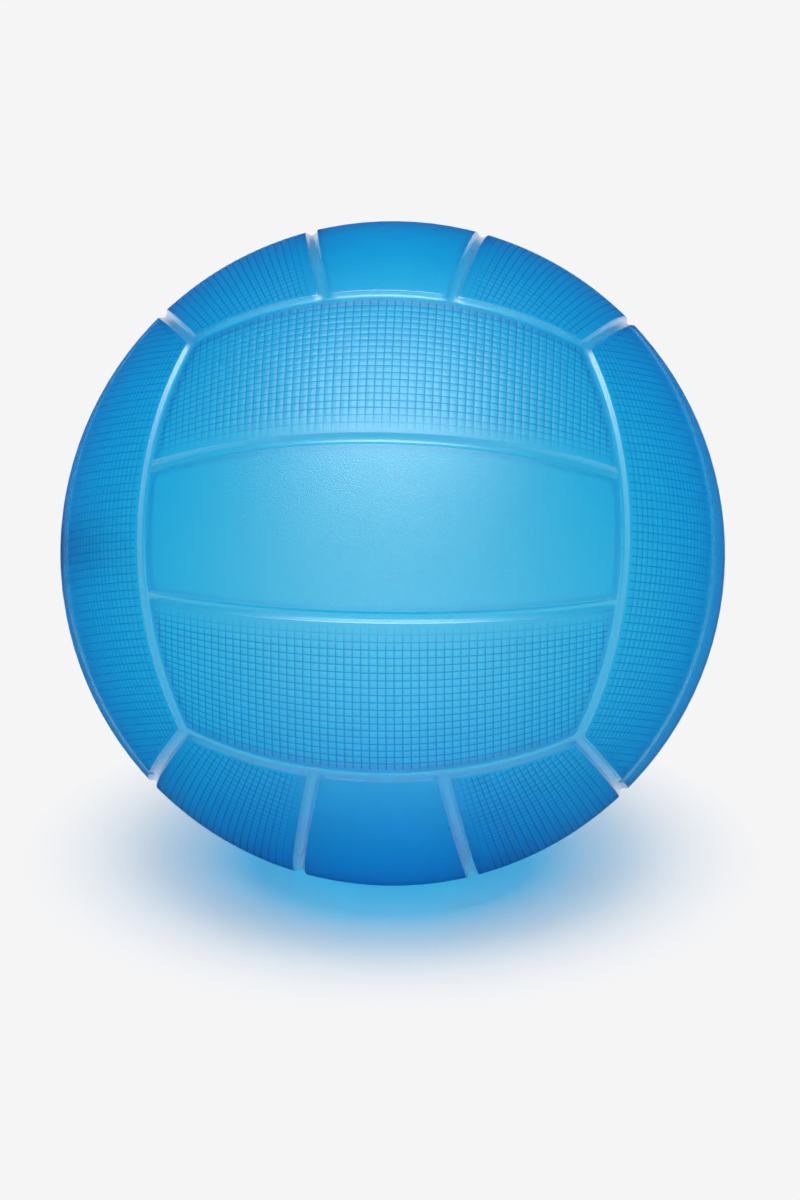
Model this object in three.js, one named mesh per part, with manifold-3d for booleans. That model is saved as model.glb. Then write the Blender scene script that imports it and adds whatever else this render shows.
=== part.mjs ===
// A hollow beach volleyball moulded in one piece, with its soft needle valve.
// Millimetres, +Z up, origin at the ball's centre. The valve is on the -X side and the front face looks along -Y.
import * as THREE from 'three';
import { mergeVertices } from 'three/addons/utils/BufferGeometryUtils.js';
import Module from 'manifold-3d';

const wasm = await Module();
wasm.setup();

// Ball and skin
const ballDiameter = 210;
const skinWall = 1.5;
const frontFaceRise = 26; // degrees that the front face looks up, as the ball lies

// Channels between the panels
const channelWidth = 4;
const channelFloorWidth = 2.2;
const channelDepth = 1.2;
const middlePanelAngle = 30; // degrees across the middle one of a face's three panels
const faceAngle = 90; // degrees across a face, six of which cover the ball

// Thick pad where the valve goes through the skin
const seatDiameter = 20; // flat outside
const bossDiameter = 30; // flat inside
const bossHeight = 1.6;

// Valve housing
const sleeveDiameter = 11;
const flangeDiameter = 25;
const flangeThickness = 1.6;
const socketDiameter = 10;
const socketLength = 13;
const socketFloor = 1.5;
const outletDiameter = 3;

// Valve core
const headDiameter = 7.6;
const headThickness = 1.1;
const stemDiameter = 5.2;
const stemTipDiameter = 3.6;
const stemTipLength = 3;
const needleBoreDiameter = 1.6;
const needleBoreDepth = 11;
const needleLeadDiameter = 3;
const needleLeadDepth = 0.8;

// Clearance between pieces that touch
const fitGap = 0.3;

// Fineness of the facets
const outerSpans = { panel: 3, middle: 4 };
const innerSpans = { panel: 2, middle: 4 };
const roundSegments = 48;

const ballRadius = ballDiameter / 2;
const seatPlane = Math.sqrt(ballRadius ** 2 - (seatDiameter / 2) ** 2);
const bossPlane = ballRadius - skinWall - bossHeight;

const softPvc = new THREE.MeshStandardMaterial({ color: 0x1c93d8, roughness: 0.45, metalness: 0 });
const clearPvc = new THREE.MeshStandardMaterial({ color: 0x3aa6e0, roughness: 0.35, metalness: 0 });
const softRubber = new THREE.MeshStandardMaterial({ color: 0x1f6fb4, roughness: 0.6, metalness: 0 });

// A closed geometry as a solid for joining and cutting
function solidOf(geometry) {
  const bare = geometry.clone();
  bare.deleteAttribute('normal');
  bare.deleteAttribute('uv');
  const merged = mergeVertices(bare, 1e-4);
  return new wasm.Manifold(new wasm.Mesh({
    numProp: 3,
    vertProperties: new Float32Array(merged.attributes.position.array),
    triVerts: new Uint32Array(merged.index.array),
  }));
}

// A solid back as a geometry for a mesh
function geometryOf(solid) {
  const mesh = solid.getMesh();
  const geometry = new THREE.BufferGeometry();
  geometry.setAttribute('position', new THREE.BufferAttribute(mesh.vertProperties, 3));
  geometry.setIndex(new THREE.BufferAttribute(mesh.triVerts, 1));
  geometry.computeVertexNormals();
  return geometry;
}

// The six faces. Panels run along u, side by side across v, and w points out of the face.
// Neighbouring faces have their panels at right angles, as on a volleyball.
const cubeFaces = [
  { u: [1, 0, 0], v: [0, 0, 1], w: [0, -1, 0] },
  { u: [1, 0, 0], v: [0, 0, -1], w: [0, 1, 0] },
  { u: [0, 0, 1], v: [0, -1, 0], w: [1, 0, 0] },
  { u: [0, 0, 1], v: [0, 1, 0], w: [-1, 0, 0] },
  { u: [0, 1, 0], v: [-1, 0, 0], w: [0, 0, 1] },
  { u: [0, 1, 0], v: [1, 0, 0], w: [0, 0, -1] },
].map(({ u, v, w }) => ({
  u: new THREE.Vector3(...u),
  v: new THREE.Vector3(...v),
  w: new THREE.Vector3(...w),
}));

// The lines of a face's grid from one border to the other. Each is a plane through the ball's centre at an angle,
// moved sideways by an offset, so that lines beside a channel keep its real width from end to end.
function gridLines(channel, spans) {
  const border = faceAngle / 2;
  const seam = middlePanelAngle / 2;
  const edge = channel.width / 2;
  const floor = channel.floorWidth / 2;
  const half = [];
  for (let i = 0; i < spans.middle / 2; i++) half.push({ angle: (i * seam) / (spans.middle / 2), offset: 0 });
  for (const offset of [-edge, -floor, floor, edge]) half.push({ angle: seam, offset });
  for (let i = 1; i < spans.panel; i++) half.push({ angle: seam + (i * (border - seam)) / spans.panel, offset: 0 });
  for (const offset of [-edge, -floor, 0]) half.push({ angle: border, offset });
  const mirrored = half.slice(1).reverse().map(({ angle, offset }) => ({ angle: -angle, offset: -offset }));
  return [...mirrored, ...half];
}

// The direction, in a face's own axes, in which line a across u meets line b across v
function crossing(a, b) {
  const angleA = THREE.MathUtils.degToRad(a.angle);
  const angleB = THREE.MathUtils.degToRad(b.angle);
  const shiftA = Math.sin(a.offset / ballRadius) / Math.cos(angleA);
  const shiftB = Math.sin(b.offset / ballRadius) / Math.cos(angleB);
  const slopeA = Math.tan(angleA);
  const slopeB = Math.tan(angleB);
  const square = 1 + slopeA ** 2 + slopeB ** 2;
  const cross = shiftA * slopeA + shiftB * slopeB;
  const rest = shiftA ** 2 + shiftB ** 2 - 1;
  const z = (-cross + Math.sqrt(cross ** 2 - square * rest)) / square;
  return new THREE.Vector3(shiftA + slopeA * z, shiftB + slopeB * z, z);
}

// How deep the channels are at a direction in a face's own axes: full on the floor, none past the edge
function depthAt(direction, channel) {
  const seam = THREE.MathUtils.degToRad(middlePanelAngle / 2);
  const { x, y, z } = direction;
  const sides = [
    Math.abs(y) * Math.cos(seam) - z * Math.sin(seam),
    (z - Math.abs(x)) / Math.SQRT2,
    (z - Math.abs(y)) / Math.SQRT2,
  ];
  const nearest = Math.min(...sides.map((side) => Math.abs(ballRadius * Math.asin(side))));
  const slope = (channel.width / 2 - nearest) / (channel.width / 2 - channel.floorWidth / 2);
  return channelDepth * THREE.MathUtils.clamp(slope, 0, 1);
}

// A closed ball with channels in it: six square grids that share the vertices on their borders
function channelledBall(radius, channel, spans) {
  const lines = gridLines(channel, spans);
  const last = lines.length - 1;
  const positions = [];
  const indices = [];
  const known = new Map();

  function vertex(face, i, j) {
    const place = face.u.clone().multiplyScalar(2 * i - last)
      .addScaledVector(face.v, 2 * j - last)
      .addScaledVector(face.w, last);
    const key = place.toArray().map(Math.round).join();
    if (!known.has(key)) {
      const direction = crossing(lines[i], lines[j]);
      const distance = radius - depthAt(direction, channel);
      const point = face.u.clone().multiplyScalar(direction.x)
        .addScaledVector(face.v, direction.y)
        .addScaledVector(face.w, direction.z)
        .multiplyScalar(distance);
      known.set(key, positions.length / 3);
      positions.push(point.x, point.y, point.z);
    }
    return known.get(key);
  }

  for (const face of cubeFaces) {
    for (let i = 0; i < last; i++) {
      for (let j = 0; j < last; j++) {
        const [a, b, c, d] = [[i, j], [i + 1, j], [i + 1, j + 1], [i, j + 1]].map(([p, q]) => vertex(face, p, q));
        indices.push(a, b, c, a, c, d);
      }
    }
  }
  const geometry = new THREE.BufferGeometry();
  geometry.setAttribute('position', new THREE.Float32BufferAttribute(positions, 3));
  geometry.setIndex(indices);
  return geometry;
}

// A cylinder on the valve's axis, between two distances from the ball's centre
function valveCylinder(diameter, inner, outer) {
  const geometry = new THREE.CylinderGeometry(diameter / 2, diameter / 2, outer - inner, roundSegments);
  geometry.rotateZ(Math.PI / 2);
  geometry.translate(-(inner + outer) / 2, 0, 0);
  return geometry;
}

function makeSkin() {
  const outerChannel = { width: channelWidth, floorWidth: channelFloorWidth };
  const innerChannel = { width: channelWidth + 2 * skinWall, floorWidth: channelFloorWidth + 2 * skinWall };
  const outer = solidOf(channelledBall(ballRadius, outerChannel, outerSpans));
  const inner = solidOf(channelledBall(ballRadius - skinWall, innerChannel, innerSpans));
  const boss = solidOf(valveCylinder(bossDiameter, bossPlane, ballDiameter));
  const seatCut = solidOf(valveCylinder(2 * seatDiameter, seatPlane, ballDiameter));
  const seatPad = solidOf(valveCylinder(seatDiameter, bossPlane, seatPlane));
  const bore = solidOf(valveCylinder(sleeveDiameter + 2 * fitGap, bossPlane / 2, ballDiameter));
  const cavity = inner.subtract(boss);
  const skin = outer.subtract(cavity).subtract(seatCut).add(seatPad).subtract(bore);
  const mesh = new THREE.Mesh(geometryOf(skin), softPvc);
  mesh.name = 'moulded_skin';
  return mesh;
}

// A turned piece on the valve's axis, from a closed outline of [radius, distance from the ball's centre]
function turned(name, outline, material) {
  const points = [...outline, outline[0]].map(([radius, distance]) => new THREE.Vector2(radius, distance));
  const geometry = new THREE.LatheGeometry(points, roundSegments);
  geometry.rotateZ(Math.PI / 2);
  const mesh = new THREE.Mesh(geometry, material);
  mesh.name = name;
  return mesh;
}

// Distances from the ball's centre that both valve pieces share
const flangeTop = bossPlane - fitGap;
const flangeBottom = flangeTop - flangeThickness;
const socketEnd = flangeBottom - socketLength;
const socketBottom = socketEnd + socketFloor;
const headBottom = seatPlane - headThickness;

function makeValveHousing() {
  const pocketRadius = headDiameter / 2 + fitGap;
  const boreRadius = stemDiameter / 2 + fitGap;
  return turned('valve_housing', [
    [outletDiameter / 2, socketEnd],
    [socketDiameter / 2, socketEnd],
    [socketDiameter / 2, flangeBottom],
    [flangeDiameter / 2, flangeBottom],
    [flangeDiameter / 2, flangeTop],
    [sleeveDiameter / 2, flangeTop],
    [sleeveDiameter / 2, seatPlane],
    [pocketRadius, seatPlane],
    [pocketRadius, headBottom - fitGap],
    [boreRadius, headBottom - fitGap],
    [boreRadius, socketBottom],
    [outletDiameter / 2, socketBottom],
  ], clearPvc);
}

// The needle's way in ends blind: the slit beyond it stays shut until a needle opens it
function makeValveCore() {
  const tip = socketBottom + fitGap;
  return turned('valve_core', [
    [0, tip],
    [stemTipDiameter / 2, tip],
    [stemDiameter / 2, tip + stemTipLength],
    [stemDiameter / 2, headBottom],
    [headDiameter / 2, headBottom],
    [headDiameter / 2, seatPlane],
    [needleLeadDiameter / 2, seatPlane],
    [needleBoreDiameter / 2, seatPlane - needleLeadDepth],
    [needleBoreDiameter / 2, seatPlane - needleBoreDepth],
    [0, seatPlane - needleBoreDepth],
  ], softRubber);
}

const valve = new THREE.Group();
valve.add(makeValveHousing(), makeValveCore());

const ball = new THREE.Group();
ball.add(makeSkin(), valve);
ball.rotation.x = -THREE.MathUtils.degToRad(frontFaceRise);

const part = new THREE.Group();
part.add(ball);

export default part;
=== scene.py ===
# %% [markdown]
# # A moulded beach volleyball
#
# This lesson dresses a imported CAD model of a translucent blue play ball. The CAD model holds the sizes: how
# big the ball is, where its channels run and where the valve sits. Blender adds what the eye sees: the
# raised squares that give grip, the rounded channels, the frosted soft PVC that light goes through, and
# white paper to lie on.
#
# Everything is in metres and in the CAD model's own frame, with the ball's centre at the origin.

# %% Load the frame
import math

import bmesh
import bpy
import numpy as np
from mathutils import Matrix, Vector
from mathutils.geometry import delaunay_2d_cdt


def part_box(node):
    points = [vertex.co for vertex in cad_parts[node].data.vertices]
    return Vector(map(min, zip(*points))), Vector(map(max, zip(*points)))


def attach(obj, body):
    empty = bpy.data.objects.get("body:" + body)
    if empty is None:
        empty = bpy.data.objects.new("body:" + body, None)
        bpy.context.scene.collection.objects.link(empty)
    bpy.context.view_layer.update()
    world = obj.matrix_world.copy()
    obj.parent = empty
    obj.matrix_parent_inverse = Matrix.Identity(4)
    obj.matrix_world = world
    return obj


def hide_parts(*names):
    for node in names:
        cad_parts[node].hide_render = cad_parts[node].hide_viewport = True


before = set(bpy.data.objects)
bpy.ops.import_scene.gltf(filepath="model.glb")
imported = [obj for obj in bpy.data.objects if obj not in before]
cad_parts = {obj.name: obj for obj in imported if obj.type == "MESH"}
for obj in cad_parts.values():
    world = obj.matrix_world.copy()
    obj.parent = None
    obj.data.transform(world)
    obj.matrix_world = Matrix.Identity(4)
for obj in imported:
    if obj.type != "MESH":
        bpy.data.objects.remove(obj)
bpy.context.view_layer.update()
MM = 0.001

# %% [markdown]
# ## Sizes
#
# The ball's radius and the flat around its valve are read from the CAD skin, so the two models can't drift
# apart. The rest repeats the real sizes that the CAD source names. The squares are measured on the
# photograph against the ball's own width: about 60 of them lie along a panel and 20 across it.

# %% Driving sizes
skin_low, skin_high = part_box("moulded_skin")
ball_radius = skin_high[0]
seat_plane = -skin_low[0]
skin_wall = 1.5 * MM
front_face_rise = math.radians(26)

channel_half_width = 2.0 * MM
channel_depth = 1.2 * MM
seam_angle = math.radians(15)
border_angle = math.radians(45)

square_pitch = 2.55 * MM
rows_across = 20
faded_rows = 3
line_half_width = 0.32 * MM
line_depth = 0.17 * MM
line_ramp = 0.4 * MM
plain_margin = 0.9 * MM
middle_finish = 0.05

bore_radius = 5.8 * MM
seat_radius = math.sqrt(ball_radius**2 - seat_plane**2)
boss_radius = 15.0 * MM
boss_extra = 1.6 * MM
boss_plane = ball_radius - skin_wall - boss_extra
lip_round = 0.3 * MM
print("ball", round(2 * ball_radius / MM, 1), "mm across, valve flat", round(2 * seat_radius / MM, 1), "mm")

# %% [markdown]
# ## One face of the ball
#
# A volleyball's eighteen panels are six equal faces of three panels, like a cube blown up round. So one
# face is worked out once and turned into the six places.
#
# A face is drawn flat first, in the plane that touches the ball at the face's middle: a point there is
# (x/z, y/z) of its direction. This map turns every seam into a straight line. The panels run along x and
# lie side by side along y.

# %% Directions on a face
def directions(flat):
    """Unit directions for points of the flat map."""
    full = np.column_stack([flat, np.ones(len(flat))])
    return full / np.linalg.norm(full, axis=1)[:, None]


beside_middle = [(0, side * math.cos(seam_angle), -math.sin(seam_angle)) for side in (1, -1)]
round_face = [(-1, 0, 1), (1, 0, 1), (0, -1, 1), (0, 1, 1)]
seam_planes = np.array(beside_middle + [np.array(side) / math.sqrt(2) for side in round_face])


def seam_distances(n):
    """Distance along the ball from each seam: two beside the middle panel and four round the face."""
    return ball_radius * np.arcsin(seam_planes @ n.T)


def crossing(line_x, line_y):
    """Where two lines of a face meet. Each is a plane through the centre at an angle, moved by an offset."""
    shift_x = math.sin(line_x[1] / ball_radius) / math.cos(line_x[0])
    shift_y = math.sin(line_y[1] / ball_radius) / math.cos(line_y[0])
    slope_x, slope_y = math.tan(line_x[0]), math.tan(line_y[0])
    square = 1 + slope_x**2 + slope_y**2
    cross = shift_x * slope_x + shift_y * slope_y
    rest = shift_x**2 + shift_y**2 - 1
    z = (-cross + math.sqrt(cross**2 - square * rest)) / square
    return (shift_x / z + slope_x, shift_y / z + slope_y)


merge_distance = 1e-8


class Drawing:
    """Points and lines on the flat map, which a triangulation then fills."""

    def __init__(self):
        self.points = []
        self.edges = []

    def add(self, points):
        first = len(self.points)
        self.points += [tuple(p) for p in points]
        return list(range(first, len(self.points)))

    def line(self, points, closed=False):
        ids = self.add(points)
        self.edges += list(zip(ids[:-1], ids[1:]))
        if closed:
            self.edges.append((ids[-1], ids[0]))

    def triangles(self):
        """Fills the drawing with triangles that keep its lines."""
        points = [Vector(p) for p in self.points]
        flat, _, faces, *_ = delaunay_2d_cdt(points, self.edges, [], 0, merge_distance)
        return np.array([tuple(p) for p in flat]), np.array(faces)


# %% [markdown]
# ## The channels
#
# The channels between the panels are formed by ribs in the mould. A rib has a round nose, so a channel has
# a round floor, steep sides and a small round lip at each edge. One smooth curve gives all three, and it is
# sampled closely near the lip, where it bends most and where the light catches.
#
# Lines are drawn along each channel at those samples. Where two channels meet, the lines meet in a mitre,
# as the sides of a picture frame do.

# %% Channel lines
outer_steps = (0.0, 0.3, 0.54, 0.72, 0.81, 0.88, 0.95, 1.0)
lip_steps = (0.72, 0.81, 0.95, 1.0)
inner_steps = (0.0, 0.4, 0.7, 0.88, 1.0)
crease_width = 0.02 * MM
least_length = 1e-9
step_angle = 3
border_degrees = round(math.degrees(border_angle))
cross_angles = [math.radians(a) for a in range(-border_degrees, border_degrees + 1, step_angle)]


def channel_section(distance, half_width):
    """Depth of a channel at a distance from its middle."""
    share = np.clip(np.abs(distance) / half_width, 0, 1)
    return channel_depth * (1 - share**3) ** 2


def channel_normals(n, distance, half_width):
    """Which way the channelled surface faces. Where two channels meet in a crease, it is left at zero."""
    seams = seam_distances(n)
    nearest = np.abs(seams).argmin(axis=0)
    from_seam, next_seam = np.sort(np.abs(seams), axis=0)[:2]
    share = np.clip(from_seam / half_width, 0, 1)
    # How steeply channel_section falls at that share.
    slope = -6 * channel_depth / half_width * share**2 * (1 - share**3)
    plane = seam_planes[nearest]
    away = plane - n * (plane * n).sum(axis=1)[:, None]
    away *= np.sign(seams[nearest, range(len(n))])[:, None]
    facing = n + away * (slope * ball_radius / distance)[:, None]
    facing[(next_seam - from_seam < crease_width) & (share < 1)] = 0
    return facing / np.maximum(np.linalg.norm(facing, axis=1), least_length)[:, None]


def draw_channels(drawing, half_width, steps):
    """Draws lines along every channel of a face, at the given shares of its half width."""
    near = 0.2 * math.tan(math.radians(step_angle))

    def run(fixed, along_x, start, end):
        """One line along a channel, from where it meets the line start to where it meets the line end."""
        def meet(line):
            return crossing(line, fixed) if along_x else crossing(fixed, line)

        axis = 0 if along_x else 1
        low, high = meet(start), meet(end)
        places = [meet((angle, 0.0)) for angle in cross_angles]
        drawing.line([low, *(p for p in places if low[axis] + near < p[axis] < high[axis] - near), high])

    for step in steps:
        d = step * half_width
        low_end, high_end = (-border_angle, d), (border_angle, -d)
        for side in (-1, 1):
            border = (side * border_angle, -side * d)
            run(border, True, low_end, high_end)
            run(border, False, low_end, (-seam_angle, -d))
            run(border, False, (-seam_angle, d), (seam_angle, -d))
            run(border, False, (seam_angle, d), high_end)
            for offset in {-d, d}:
                run((side * seam_angle, offset), True, low_end, high_end)


# %% [markdown]
# ## The squares
#
# The two outer panels of a face carry raised squares, which the maker cuts into the mould as a net of fine
# ridges. On the ball each ridge leaves a narrow V. The rows run with the panel, like lines of longitude
# about its long axis, and the cross lines run straight across, like lines of latitude. At the slanting ends
# the squares are cut off.
#
# A square needs few points: its four corners, and the crossings of the V bottoms around it. The first rows
# beside the middle panel are shallower, as they are on the real ball.

# %% Where the net lies
def row_limits(latitude):
    """Longitudes of the net's two long edges, a plain margin away from the channels."""
    clear = np.arcsin(np.sin((channel_half_width + plain_margin) / ball_radius) / np.cos(latitude))
    return seam_angle + clear, border_angle - clear


def net_place(n):
    """Row number, height of a row, and distances from the net's nearest long edge and nearest end."""
    latitude = np.arcsin(n[:, 0])
    longitude = np.arctan2(np.abs(n[:, 1]), n[:, 2])
    first, last = row_limits(latitude)
    row = (longitude - first) / (last - first) * rows_across
    row_height = (last - first) / rows_across * ball_radius * np.cos(latitude)
    seams = seam_distances(n)
    from_end = np.minimum(seams[2], seams[3]) - channel_half_width - plain_margin
    return row, row_height, np.minimum(row, rows_across - row) * row_height, from_end


def net_section(n):
    """Depth of the net's lines at directions n, none outside the net."""
    row, row_height, from_edge, from_end = net_place(n)
    column = np.arcsin(n[:, 0]) * ball_radius / square_pitch
    from_row = np.abs(row - np.clip(np.round(row), 1, rows_across - 1)) * row_height
    from_column = np.abs(column - np.round(column)) * square_pitch
    vee = np.clip(1 - np.minimum(from_row, from_column) / line_half_width, 0, 1)
    ramp = np.clip(np.minimum(from_edge, from_end) / line_ramp, 0, 1)
    fade = np.clip((row + 1) / (faded_rows + 1), 0, 1)
    return line_depth * vee * ramp * fade


# %% [markdown]
# The net is laid out as a table of places. Each V has three lines, its two edges and its bottom, and a
# place is where a line along the panel crosses a line across it. Lines that reach a slanting end are cut
# there.

# %% Lines of the net
halvings = 24


def cut_back(inner, outer, level):
    """Points on the way from inner to outer that lie at a level from the end of the net."""
    low, high = np.zeros(len(inner)), np.ones(len(inner))
    for _ in range(halvings):
        middle = (low + high) / 2
        beyond = net_place(directions(inner + (outer - inner) * middle[:, None]))[3] > level
        low, high = np.where(beyond, middle, low), np.where(beyond, high, middle)
    return inner + (outer - inner) * low[:, None]


def net_table(side):
    """Places of the net on the flat map, and each column's and row's part of its V: an edge or the bottom."""
    reach = int(border_angle * ball_radius / square_pitch)
    columns = np.array([(j, part) for j in range(-reach, reach + 1) for part in (-1, 0, 1)])
    rows = np.array([(k, part) for k in range(1, rows_across) for part in (-1, 0, 1)])
    latitude = ((columns @ [square_pitch, line_half_width]) / ball_radius)[:, None]
    first, last = row_limits(latitude)
    around = ball_radius * np.cos(latitude)
    middle_rows = first + (last - first) * rows[:, 0] / rows_across + rows[:, 1] * line_half_width / around
    longitude = np.hstack([first, first + line_ramp / around, middle_rows, last - line_ramp / around, last])
    table = np.stack([np.tan(latitude) / np.cos(longitude), side * np.tan(longitude)], axis=2)
    return table, columns[:, 1], rows[:, 1]


def net_links(column_parts, row_parts):
    """Pairs of places joined by a line, first those on V edges and then those on V bottoms."""
    across = len(row_parts) + 4
    edge_rows = [0, *(2 + np.flatnonzero(row_parts)), across - 1]
    bottom_rows = [1, *(2 + np.flatnonzero(row_parts == 0)), across - 2]
    edges, bottoms = [], []
    for a, part in enumerate(column_parts):
        if part:
            edges += [((a, b), (a, c)) for b, c in zip(edge_rows[::2], edge_rows[1::2])]
        else:
            bottoms += [((a, b), (a, c)) for b, c in zip(bottom_rows[:-1], bottom_rows[1:])]
    for b, part in enumerate(row_parts, start=2):
        if part:
            edges += [((a, b), (a + 1, b)) for a in range(2, len(column_parts) - 1, 3)]
        else:
            bottoms += [((a, b), (a + 3, b)) for a in range(1, len(column_parts) - 3, 3)]
    return edges, bottoms


def draw_net(drawing, side):
    """Draws the net of one outer panel. side is 1 or -1, for the panel above or below the middle one."""
    table, column_parts, row_parts = net_table(side)
    places = table.reshape(-1, 2)
    from_end = net_place(directions(places))[3]
    ids = {}

    def known(numbers):
        """Where the places with these numbers are in the drawing. New ones are added to it."""
        new = [n for n in np.unique(numbers) if n not in ids]
        ids.update(zip(new, drawing.add(places[new])))
        return [ids[n] for n in numbers]

    for links, level in zip(net_links(column_parts, row_parts), (0.0, line_ramp)):
        pairs = np.array(links) @ [table.shape[1], 1]
        inside = from_end[pairs] > level
        whole = pairs[inside.all(axis=1)]
        drawing.edges += list(zip(known(whole[:, 0]), known(whole[:, 1])))
        cut = inside.sum(axis=1) == 1
        inner = np.where(inside[cut, 0], pairs[cut, 0], pairs[cut, 1])
        outer = np.where(inside[cut, 0], pairs[cut, 1], pairs[cut, 0])
        ends = drawing.add(cut_back(places[inner], places[outer], level))
        drawing.edges += list(zip(known(inner), ends))


net_trial = Drawing()
draw_net(net_trial, 1)
print("one net has", len(net_trial.points), "points and", len(net_trial.edges), "lines")

# %% [markdown]
# ## The skin
#
# The drawing is filled with triangles and each point is put at its distance from the ball's centre: the
# ball's radius, less the channel, less the net. The skin's inside follows the channels too, because the
# plastic has an even wall, so a channel is a ridge inside. It has no squares. On the valve's face the ball
# is flat outside, where the valve's head lies, and thick inside.

# %% One face as a sheet
round_steps = 48
clear_gap = 1.5 * MM
polished_depth = 0.02 * channel_depth
clear_of_boss = 1.15
rounding_room = 1.0001


def ring(radius, plane):
    """A circle about the valve's axis, at a distance from the ball's centre, on the flat map."""
    angles = np.linspace(0, 2 * math.pi, round_steps, endpoint=False)
    return np.column_stack([np.cos(angles), np.sin(angles)]) * radius / plane


def face_sheet(outside, valve):
    """A face of the skin's outside or inside, in its own axes: points, triangles, finishes and normals."""
    half_width = channel_half_width + (0 if outside else skin_wall)
    drawing = Drawing()
    draw_channels(drawing, half_width, outer_steps if outside else inner_steps)
    if outside:
        draw_net(drawing, 1)
        draw_net(drawing, -1)

    places = np.array([crossing((a, 0.0), (b, 0.0)) for a in cross_angles for b in cross_angles])
    seams = np.abs(seam_distances(directions(places)))
    clear = seams.min(axis=0) > half_width + clear_gap
    if outside:
        clear &= np.abs(places[:, 1]) < math.tan(seam_angle)
    from_axis = np.hypot(*places.T)
    if valve:
        clear &= from_axis > clear_of_boss * boss_radius / boss_plane
        plane, flat_radius = (seat_plane, seat_radius) if outside else (boss_plane, boss_radius)
        drawing.line(ring(bore_radius + lip_round, plane), closed=True)
        drawing.line(ring(flat_radius, plane), closed=True)
        drawing.line(ring(flat_radius + lip_round, plane), closed=True)
        drawing.line(ring(boss_radius + skin_wall, plane), closed=True)
    drawing.add(places[clear])

    flat, faces = drawing.triangles()
    n = directions(flat)
    nearest = np.abs(seam_distances(n)).min(axis=0)
    distance = np.full(len(n), ball_radius if outside else ball_radius - skin_wall)
    channel = channel_section(nearest, half_width)
    distance -= channel
    facing = channel_normals(n, distance, half_width) * (1 if outside else -1)
    finish = np.zeros(len(n))
    if outside:
        net = net_section(n)
        distance -= net
        smooth = np.where(np.abs(flat[:, 1]) < math.tan(seam_angle), middle_finish, 0)
        on_lip = np.interp(nearest / half_width, lip_steps, [0, 1, 1, 0])
        # The finish goes below zero in the thin lines, where the material paints a darker blue as shade.
        finish = np.clip(channel / polished_depth, smooth, 1) + on_lip - net / line_depth
        facing[nearest > half_width + 0.5 * plain_margin] = 0
    if valve:
        on_flat = np.hypot(*flat.T) < rounding_room * flat_radius / plane
        distance[on_flat] = plane / n[on_flat, 2]
        facing[on_flat] = (0, 0, 1 if outside else -1)
        open_bore = np.hypot(*flat[faces].mean(axis=1).T) < (bore_radius + lip_round) / plane
        faces = faces[~open_bore]

    return n * distance[:, None], faces, finish, facing


sheet_points, sheet_faces, *_ = face_sheet(True, False)
print("one face outside has", len(sheet_points), "points and", len(sheet_faces), "triangles")

# %% Six faces make the skin
cube_faces = [
    ((1, 0, 0), (0, 0, 1), (0, -1, 0)),
    ((1, 0, 0), (0, 0, -1), (0, 1, 0)),
    ((0, 0, 1), (0, -1, 0), (1, 0, 0)),
    ((0, 0, 1), (0, 1, 0), (-1, 0, 0)),
    ((0, 1, 0), (-1, 0, 0), (0, 0, 1)),
    ((0, 1, 0), (1, 0, 0), (0, 0, -1)),
]
valve_face = 3
sharp_angle = math.radians(18)
weld_gap = 0.002 * MM


def tilted(points):
    """Turns points about the X axis from the upright ball to the ball as it lies."""
    x, y, z = np.asarray(points, float).T
    rise, run = math.sin(front_face_rise), math.cos(front_face_rise)
    return np.column_stack([x, y * run + z * rise, z * run - y * rise])


def bore_wall():
    """The hole through the skin for the valve, with a small round lip at both ends."""
    lip = lip_round * (1 - math.sqrt(0.5))
    rings = [
        (bore_radius + lip_round, seat_plane),
        (bore_radius + lip, seat_plane - lip),
        (bore_radius, seat_plane - lip_round),
        (bore_radius, boss_plane + lip_round),
        (bore_radius + lip, boss_plane + lip),
        (bore_radius + lip_round, boss_plane),
    ]
    points = [(*(place * plane), plane) for radius, plane in rings for place in ring(radius, plane)]
    faces = []
    for i in range(len(rings) - 1):
        for j in range(round_steps):
            k = (j + 1) % round_steps
            a, b = i * round_steps + j, i * round_steps + k
            faces += [(a, b, b + round_steps), (a, b + round_steps, a + round_steps)]
    facing = np.zeros((len(points), 3))
    facing[:round_steps] = (0, 0, 1)
    facing[-round_steps:] = (0, 0, -1)
    return np.array(points), np.array(faces), np.full(len(points), middle_finish), facing


def skin_parts():
    """Every sheet of the skin, turned to its place on the ball."""
    kinds = [(outside, valve) for outside in (True, False) for valve in (True, False)]
    sheets = {kind: face_sheet(*kind) for kind in kinds}
    for number, axes in enumerate(cube_faces):
        for outside in (True, False):
            yield np.array(axes), sheets[outside, number == valve_face]
    yield np.array(cube_faces[valve_face]), bore_wall()


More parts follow.
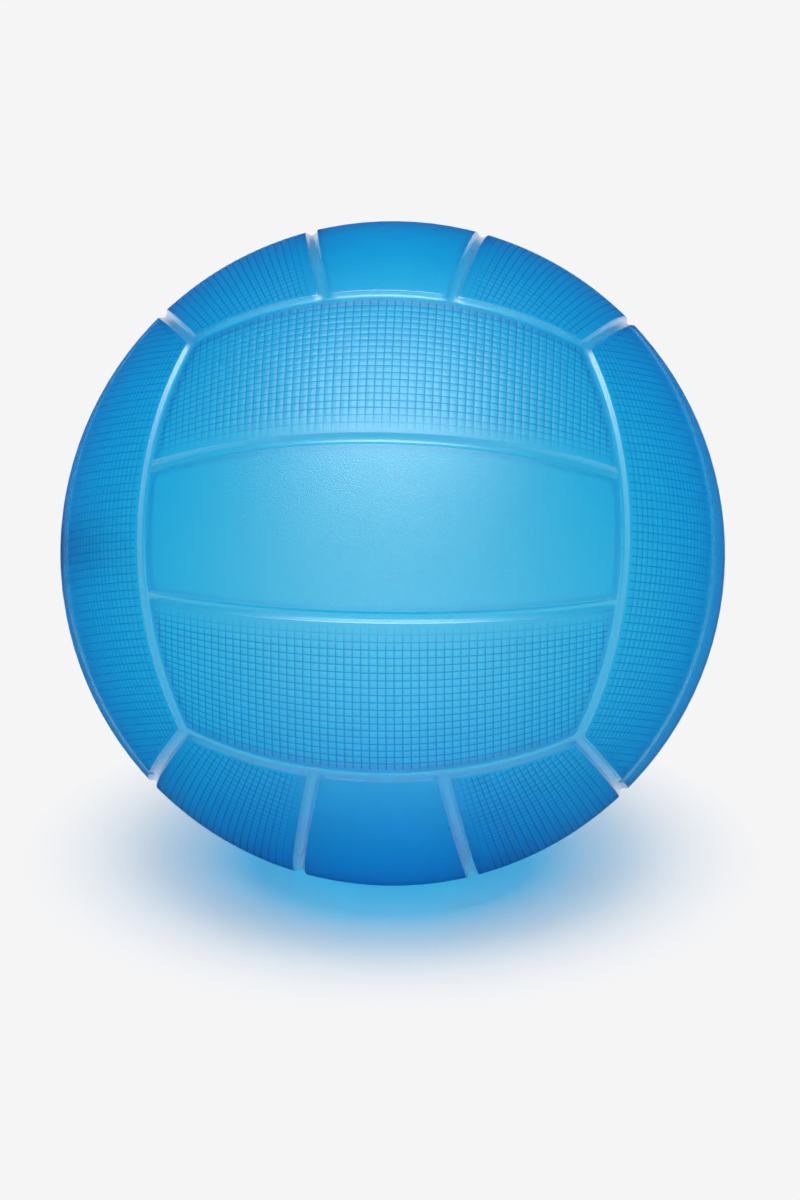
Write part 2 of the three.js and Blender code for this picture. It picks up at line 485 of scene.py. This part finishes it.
def build_skin():
    """The whole skin as one closed mesh, with each point's finish and normal."""
    all_points, all_faces, all_finish, all_facing = [], [], [], []
    count = 0
    for axes, (points, faces, finish, facing) in skin_parts():
        all_points.append(tilted(points @ axes))
        all_faces.append(faces + count)
        all_finish.append(finish)
        all_facing.append(tilted(facing @ axes))
        count += len(points)
    mesh = bpy.data.meshes.new("ball_skin")
    mesh.from_pydata(np.vstack(all_points), [], np.vstack(all_faces))
    mesh.attributes.new("finish", "FLOAT", "POINT").data.foreach_set("value", np.concatenate(all_finish))
    normals = np.vstack(all_facing).ravel()
    mesh.attributes.new("facing", "FLOAT_VECTOR", "POINT").data.foreach_set("vector", normals)
    welded = bmesh.new()
    welded.from_mesh(mesh)
    bmesh.ops.remove_doubles(welded, verts=welded.verts, dist=weld_gap)
    bmesh.ops.recalc_face_normals(welded, faces=welded.faces)
    open_edges = sum(not edge.is_manifold for edge in welded.edges)
    welded.to_mesh(mesh)
    welded.free()
    mesh.shade_smooth()
    mesh.set_sharp_from_angle(angle=sharp_angle)
    facing = mesh.attributes["facing"]
    mesh.normals_split_custom_set_from_vertices([tuple(item.vector) for item in facing.data])
    mesh.attributes.remove(facing)
    skin = bpy.data.objects.new("ball_skin", mesh)
    bpy.context.collection.objects.link(skin)
    print("skin has", len(mesh.polygons), "triangles and", open_edges, "open edges")
    return skin


ball_skin = build_skin()
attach(ball_skin, "root")
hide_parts("moulded_skin")

# %% [markdown]
# ## The valve
#
# A play ball is pumped up through a needle. The maker moulds a soft PVC housing, a sleeve with a wide
# flange, and glues the flange to the thick pad inside the skin. A rubber core is pushed into the housing.
# It closes by itself when the needle is pulled out.
#
# Both are turned pieces here: an outline of radius and distance from the ball's centre goes round the
# valve's axis. Soft mouldings have no sharp edges, so every corner of an outline is rounded first.

# %% Sizes and outlines of the valve
sleeve_radius = 5.5 * MM
flange_radius = 12.5 * MM
flange_thickness = 1.6 * MM
socket_radius = 5.0 * MM
socket_length = 13.0 * MM
socket_floor = 1.5 * MM
outlet_radius = 1.5 * MM
head_radius = 3.8 * MM
head_thickness = 1.1 * MM
stem_radius = 2.6 * MM
stem_tip_radius = 1.8 * MM
stem_tip_length = 3.0 * MM
needle_radius = 0.8 * MM
needle_depth = 11.0 * MM
needle_lead_radius = 1.5 * MM
needle_lead_depth = 0.8 * MM
fit_gap = 0.3 * MM

flange_top = boss_plane - fit_gap
flange_bottom = flange_top - flange_thickness
socket_end = flange_bottom - socket_length
socket_bottom = socket_end + socket_floor
head_bottom = seat_plane - head_thickness
core_tip = socket_bottom + fit_gap

housing_outline = [
    (outlet_radius, socket_end),
    (socket_radius, socket_end),
    (socket_radius, flange_bottom),
    (flange_radius, flange_bottom),
    (flange_radius, flange_top),
    (sleeve_radius, flange_top),
    (sleeve_radius, seat_plane),
    (head_radius + fit_gap, seat_plane),
    (head_radius + fit_gap, head_bottom - fit_gap),
    (stem_radius + fit_gap, head_bottom - fit_gap),
    (stem_radius + fit_gap, socket_bottom),
    (outlet_radius, socket_bottom),
]
core_outline = [
    (0.0, core_tip),
    (stem_tip_radius, core_tip),
    (stem_radius, core_tip + stem_tip_length),
    (stem_radius, head_bottom),
    (head_radius, head_bottom),
    (head_radius, seat_plane),
    (needle_lead_radius, seat_plane),
    (needle_radius, seat_plane - needle_lead_depth),
    (needle_radius, seat_plane - needle_depth),
    (0.0, seat_plane - needle_depth),
]
print("the valve reaches", round((seat_plane - socket_end) / MM, 1), "mm into the ball")


# %% Turned pieces
turned_sharp_angle = math.radians(40)
corner_share = 0.4
curve_places = (0, 0.33, 0.67, 1)


def rounded(outline, radius):
    """The outline with a short curve at each corner. Corners on the axis stay."""
    corners = [Vector(corner) for corner in outline]
    result = []
    for before, corner, after in zip(corners[-1:] + corners[:-1], corners, corners[1:] + corners[:1]):
        if corner.x == 0:
            result.append(corner)
            continue
        reach = min(radius, corner_share * (before - corner).length, corner_share * (after - corner).length)
        start = corner + (before - corner).normalized() * reach
        end = corner + (after - corner).normalized() * reach
        for t in curve_places:
            result.append(start * (1 - t) ** 2 + corner * 2 * t * (1 - t) + end * t**2)
    return result


def turned(name, outline):
    """A closed solid from an outline going round the valve's axis."""
    points, faces, rings = [], [], []
    for place in outline:
        on_axis = place.x == 0
        turns = np.zeros((1, 2)) if on_axis else ring(place.x, 1.0)
        rings.append((len(points), len(turns)))
        points += [(*turn, place.y) for turn in turns]
    for (first, count), (second, next_count) in zip(rings, rings[1:] + rings[:1]):
        if count == next_count == 1:
            continue
        for j in range(round_steps):
            k = (j + 1) % round_steps
            corners = [first + j % count, first + k % count, second + k % next_count, second + j % next_count]
            faces.append(list(dict.fromkeys(corners)))
    mesh = bpy.data.meshes.new(name)
    mesh.from_pydata(tilted(np.array(points) @ np.array(cube_faces[valve_face])), [], faces)
    shaped = bmesh.new()
    shaped.from_mesh(mesh)
    bmesh.ops.recalc_face_normals(shaped, faces=shaped.faces)
    open_edges = sum(not edge.is_manifold for edge in shaped.edges)
    shaped.to_mesh(mesh)
    shaped.free()
    mesh.shade_smooth()
    mesh.set_sharp_from_angle(angle=turned_sharp_angle)
    piece = bpy.data.objects.new(name, mesh)
    bpy.context.collection.objects.link(piece)
    print(name, "has", len(mesh.polygons), "faces and", open_edges, "open edges")
    return piece


valve_housing = turned("ball_valve_housing", rounded(housing_outline, lip_round))
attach(valve_housing, "root")
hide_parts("valve_housing")

valve_core = turned("ball_valve_core", rounded(core_outline, lip_round))
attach(valve_core, "root")
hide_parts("valve_core")

# %% [markdown]
# ## Colours and nodes
#
# Colours are written as hex codes, as a picture editor shows them, and turned into the linear values that
# the renderer works with. A small function adds a node, sets it and links it.

# %% Two helpers
def linear(hex_colour):
    """An sRGB hex colour as linear RGBA."""
    parts = [int(hex_colour[i:i + 2], 16) / 255 for i in (0, 2, 4)]
    return (*(c / 12.92 if c <= 0.04045 else ((c + 0.055) / 1.055) ** 2.4 for c in parts), 1.0)


def node(tree, kind, settings=None, **links):
    """Adds a node, sets it, and links or sets its inputs. A name with _1 is the second of that name."""
    made = tree.nodes.new(kind)
    for name, value in (settings or {}).items():
        setattr(made, name, value)
    for name, value in links.items():
        parts = name.split("_")
        number = int(parts.pop()) if parts[-1].isdigit() else 0
        label = " ".join(parts)
        socket = [s for s in made.inputs if s.name == label and s.enabled][number]
        if hasattr(value, "links"):
            tree.links.new(value, socket)
        else:
            socket.default_value = value
    return made


print("sky blue in linear light:", [round(c, 3) for c in linear("87CEEB")])

# %% [markdown]
# ## Frosted soft PVC
#
# The ball is made of clear soft PVC with a blue dye, cured inside a turning metal mould. Three things give
# its look:
#
# * The mould is sand-blasted, so the plastic comes out frosted. Its fine grain blurs what shines through
#   and lays a milky veil on the side that faces the lamps. The veil fades where we look along the surface.
# * The ribs that form the channels are bare metal, so a channel's floor is clearer and the lips catch the
#   light.
# * The ridges of the net leave sharp thin lines. They take hardly any veil, and a darker blue painted
#   into them stands for the shade in their grooves, so they look deeper blue than the squares.
#
# One material does all of this from the finish that each point was given: -1 at the bottom of a thin line,
# 0 on frosted squares, a little more on the smoother middle panels, 1 in a channel and 2 on its lips. The
# skin has one material all over because light is absorbed on the way through the wall, and it has to enter
# and leave by the same plastic. A low refractive index lets light pass the frosted wall as easily as thin
# soft PVC does.

# %% Finish of the plastic
skin_tint = "84F0FF"
# Painted shade: this darker blue stands for the shade in the grooves of the thin lines.
line_painted_shade = "0A8CCD"
depth_tint = "00EDFB"
depth_density = 445.0
plastic_ior = 1.15

frost_rough = 0.7
polish_rough = 0.1

veil = 0.4
veil_line = 0.05
veil_blend = 0.85
veil_rough = 0.37
veil_ior = 4.0

gloss_ior = 1.45
gloss_full = 0.4
gloss_least = 0.2
lip_gloss = 0.35

# The real grain is about 0.1 mm, too fine to show. It is drawn three times as coarse.
grain_size = 0.3 * MM
grain_height = 0.16 * MM
grain_veil = 0.5
grain_low = 0.3
grain_high = 0.7


def skin_veil(tree, finish, line, grain):
    """How strongly the top of the plastic mirrors the lamps: veil on frost, gloss in channels and on lips."""
    facing = node(tree, "ShaderNodeLayerWeight", Blend=veil_blend).outputs["Facing"]
    grainy = node(tree, "ShaderNodeMapRange", Value=grain, From_Min=grain_low, From_Max=grain_high,
                  To_Min=veil * (1 - grain_veil), To_Max=veil * (1 + grain_veil))
    fading = node(tree, "ShaderNodeMapRange", Value=facing, To_Min=grainy.outputs[0], To_Max=0.0)
    lined = node(tree, "ShaderNodeMapRange", Value=line, To_Min=fading.outputs[0], To_Max=veil_line)
    mirror = node(tree, "ShaderNodeFresnel", IOR=gloss_ior)
    gloss = node(tree, "ShaderNodeMapRange", Value=mirror.outputs[0], From_Max=gloss_full, To_Min=gloss_least)
    channel = node(tree, "ShaderNodeMapRange", Value=finish, From_Min=middle_finish,
                   To_Min=lined.outputs[0], To_Max=gloss.outputs[0])
    lip = node(tree, "ShaderNodeMapRange", Value=finish, From_Min=1.0, From_Max=2.0,
               To_Min=channel.outputs[0], To_Max=lip_gloss)
    return lip.outputs[0]


# %% The skin's material
def frosted_soft_pvc():
    """Blue soft PVC from a sand-blasted mould: light glows through it, and the frost is milky."""
    material = bpy.data.materials.new("frosted_soft_pvc")
    material.use_nodes = True
    tree = material.node_tree
    tree.nodes.clear()
    finish = node(tree, "ShaderNodeAttribute", {"attribute_name": "finish"}).outputs["Fac"]
    place = node(tree, "ShaderNodeTexCoord").outputs["Object"]
    grain = node(tree, "ShaderNodeTexNoise", Vector=place, Scale=1 / grain_size, Detail=1.0).outputs[0]
    line = node(tree, "ShaderNodeMapRange", Value=finish, From_Min=0.0, From_Max=-1.0).outputs[0]
    # Painted shade: the colour goes from the plastic's blue to a darker blue in the thin lines.
    tint = node(tree, "ShaderNodeMix", {"data_type": "RGBA"},
                Factor=line, A=linear(skin_tint), B=linear(line_painted_shade))
    rough = node(tree, "ShaderNodeMapRange", Value=finish, To_Min=frost_rough, To_Max=polish_rough)
    frost = node(tree, "ShaderNodeMapRange", Value=finish, To_Min=1.0, To_Max=0.0)
    bump = node(tree, "ShaderNodeBump", Height=grain, Distance=grain_height, Strength=frost.outputs[0])
    shader = node(tree, "ShaderNodeBsdfPrincipled",
                  Base_Color=tint.outputs["Result"], Roughness=rough.outputs[0], Normal=bump.outputs[0],
                  IOR=plastic_ior, Transmission_Weight=1.0, Coat_Weight=skin_veil(tree, finish, line, grain),
                  Coat_Roughness=veil_rough, Coat_IOR=veil_ior, Coat_Normal=bump.outputs[0])
    depth = node(tree, "ShaderNodeVolumeAbsorption", Color=linear(depth_tint), Density=depth_density)
    node(tree, "ShaderNodeOutputMaterial", Surface=shader.outputs[0], Volume=depth.outputs[0])
    return material


ball_skin.data.materials.append(frosted_soft_pvc())
print("red light falls to a third in", round(1 / depth_density / MM, 1), "mm of the plastic")

# %% [markdown]
# ## The valve's plastics
#
# The housing is clear PVC with a little blue, injected into a smooth steel mould, so the valve throws only
# a faint shadow in the ball. The core is softer rubber, rubbed with powder so that it slides into the
# housing. That leaves it dull.

# %% Housing and core materials
rough_swing = 0.1


def valve_plastic(name, tint, cloud_tint, cloud_size, roughness, shine, clear):
    """A plastic with soft clouds in its colour, as the mixing of the dye leaves them."""
    material = bpy.data.materials.new(name)
    material.use_nodes = True
    tree = material.node_tree
    tree.nodes.clear()
    place = node(tree, "ShaderNodeTexCoord").outputs["Object"]
    cloud = node(tree, "ShaderNodeTexNoise", Vector=place, Scale=1 / cloud_size, Detail=3.0).outputs[0]
    colour = node(tree, "ShaderNodeMix", {"data_type": "RGBA"},
                  Factor=cloud, A=linear(tint), B=linear(cloud_tint))
    rough = node(tree, "ShaderNodeMapRange", Value=cloud,
                 To_Min=roughness - rough_swing, To_Max=roughness + rough_swing)
    shader = node(tree, "ShaderNodeBsdfPrincipled",
                  Base_Color=colour.outputs["Result"], Roughness=rough.outputs[0],
                  Coat_Weight=shine, Transmission_Weight=clear)
    node(tree, "ShaderNodeOutputMaterial", Surface=shader.outputs[0])
    return material


# The steel mould leaves the housing even and glossy, so it shows a clear highlight round its rim.
steel_moulded_pvc = valve_plastic("steel_moulded_pvc", tint="C8E9FA", cloud_tint="D8F1FD",
                                  cloud_size=3 * MM, roughness=0.2, shine=0.2, clear=1.0)
valve_housing.data.materials.append(steel_moulded_pvc)
# The powder scatters light, so the core shows pale clouds and no highlight.
powdered_rubber = valve_plastic("powdered_rubber", tint="2374B4", cloud_tint="5A9BC9",
                                cloud_size=1.5 * MM, roughness=0.7, shine=0.0, clear=0.0)
valve_core.data.materials.append(powdered_rubber)

# %% [markdown]
# ## The white paper
#
# The ball lies on white paper that fills the picture. In the photograph the paper is even white away from
# the ball, and close to it lies a short soft shadow with a blue glow, where light comes through.
#
# So the paper is matt white where the shadow is. Away from the ball it fades to a plain white for the rays
# that make the picture: those straight from the camera, mirrored by the ball or through its plastic.

# %% Floor
matt_colour = "F2F2F4"
bright_colour = "F5F5F6"
paper_half = 20.0
shadow_inner = 45 * MM
shadow_outer = 120 * MM


def matt_paper():
    """Matt paper: it takes the ball's shadow and glow softly and has no highlight."""
    material = bpy.data.materials.new("matt_white_paper")
    material.use_nodes = True
    tree = material.node_tree
    tree.nodes.clear()
    matt = node(tree, "ShaderNodeBsdfDiffuse", Color=linear(matt_colour))
    bright = node(tree, "ShaderNodeEmission", Color=linear(bright_colour), Strength=1.0)
    place = node(tree, "ShaderNodeTexCoord").outputs["Object"]
    contact = (0, 0, -ball_radius)
    away = node(tree, "ShaderNodeVectorMath", {"operation": "DISTANCE"}, Vector=place, Vector_1=contact)
    fade = node(tree, "ShaderNodeMapRange", Value=away.outputs["Value"],
                From_Min=shadow_inner, From_Max=shadow_outer)
    ray = node(tree, "ShaderNodeLightPath").outputs
    mirror = node(tree, "ShaderNodeMath", {"operation": "MAXIMUM"}, Value=ray["Is Camera Ray"],
                  Value_1=ray["Is Glossy Ray"])
    seen = node(tree, "ShaderNodeMath", {"operation": "MAXIMUM"}, Value=mirror.outputs[0],
                Value_1=ray["Is Transmission Ray"])
    share = node(tree, "ShaderNodeMath", {"operation": "MULTIPLY"}, Value=fade.outputs[0],
                 Value_1=seen.outputs[0])
    mixed = node(tree, "ShaderNodeMixShader", Fac=share.outputs[0], Shader=matt.outputs[0],
                 Shader_1=bright.outputs[0])
    node(tree, "ShaderNodeOutputMaterial", Surface=mixed.outputs[0])
    return material


floor_mesh = bpy.data.meshes.new("white_paper")
corners = [(x * paper_half, y * paper_half, -ball_radius) for x, y in ((-1, -1), (1, -1), (1, 1), (-1, 1))]
floor_mesh.from_pydata(corners, [], [(0, 1, 2, 3)])
floor = bpy.data.objects.new("white_paper", floor_mesh)
bpy.context.collection.objects.link(floor)
floor.data.materials.append(matt_paper())
print("the paper is", 2 * paper_half, "m square")

# %% [markdown]
# ## Light
#
# The veil on the ball shows the lamps: a large soft box hangs overhead, a little to the front, and a
# second, wider and weaker one leans in above the camera. The room adds a weak even light from all sides.
# Together they light white paper to just about white, so colours come out as they are written.

# %% Lamps and world
def soft_box(name, share, angle, elevation):
    """A sun lamp with a wide disc, from the camera's side. share is how white it alone makes level paper."""
    lamp = bpy.data.lights.new(name, "SUN")
    lamp.energy = share * math.pi / math.sin(math.radians(elevation))
    lamp.angle = math.radians(angle)
    made = bpy.data.objects.new(name, lamp)
    made.rotation_euler = (math.radians(90 - elevation), 0, 0)
    bpy.context.collection.objects.link(made)


world_share = 0.15
top_share = 0.73
top_angle = 42
top_elevation = 85
front_share = 0.2
front_angle = 90
front_elevation = 40
soft_box("overhead_box", top_share, top_angle, top_elevation)
soft_box("front_box", front_share, front_angle, front_elevation)

world = bpy.data.worlds.new("studio_room")
world.use_nodes = True
world.node_tree.nodes["Background"].inputs["Color"].default_value = (1, 1, 1, 1)
world.node_tree.nodes["Background"].inputs["Strength"].default_value = world_share
bpy.context.scene.world = world

bounces = 24
cycles = bpy.context.scene.cycles
cycles.max_bounces = bounces
cycles.transmission_bounces = bounces
cycles.glossy_bounces = bounces
cycles.diffuse_bounces = 4
print("light on level paper:", round(top_share + front_share + world_share, 2))

# %% [markdown]
# ## Camera
#
# The ball's outline in the photograph is almost a true circle, so the lens is long. The front face's
# channels give the direction: the camera looks down by 22 degrees and stands a little to the ball's right.
# The ball's middle lies left of the frame's middle and above it, and the camera is moved sideways and down
# to put it there.

# %% Camera and frame
view_elevation = math.radians(22)
view_azimuth = math.radians(2.5)
view_distance = 22 * ball_radius
sensor_height = 36
frame_height = 1200
focal_pixels = 7305
view_right = 2.3 * MM
view_up = -14.7 * MM

camera_data = bpy.data.cameras.new("camera")
camera_data.sensor_fit = "VERTICAL"
camera_data.sensor_height = sensor_height
camera_data.lens = sensor_height * focal_pixels / frame_height
camera = bpy.data.objects.new("camera", camera_data)
bpy.context.collection.objects.link(camera)
bpy.context.scene.camera = camera

level = math.cos(view_elevation)
back = Vector((math.sin(view_azimuth) * level, -math.cos(view_azimuth) * level, math.sin(view_elevation)))
rotation = back.to_track_quat("Z", "Y")
camera.rotation_mode = "QUATERNION"
camera.rotation_quaternion = rotation
camera.location = back * view_distance + rotation @ Vector((view_right, view_up, 0))

bpy.context.scene.view_settings.view_transform = "Standard"
print("lens", round(camera_data.lens), "mm, camera", round(view_distance, 2), "m away")
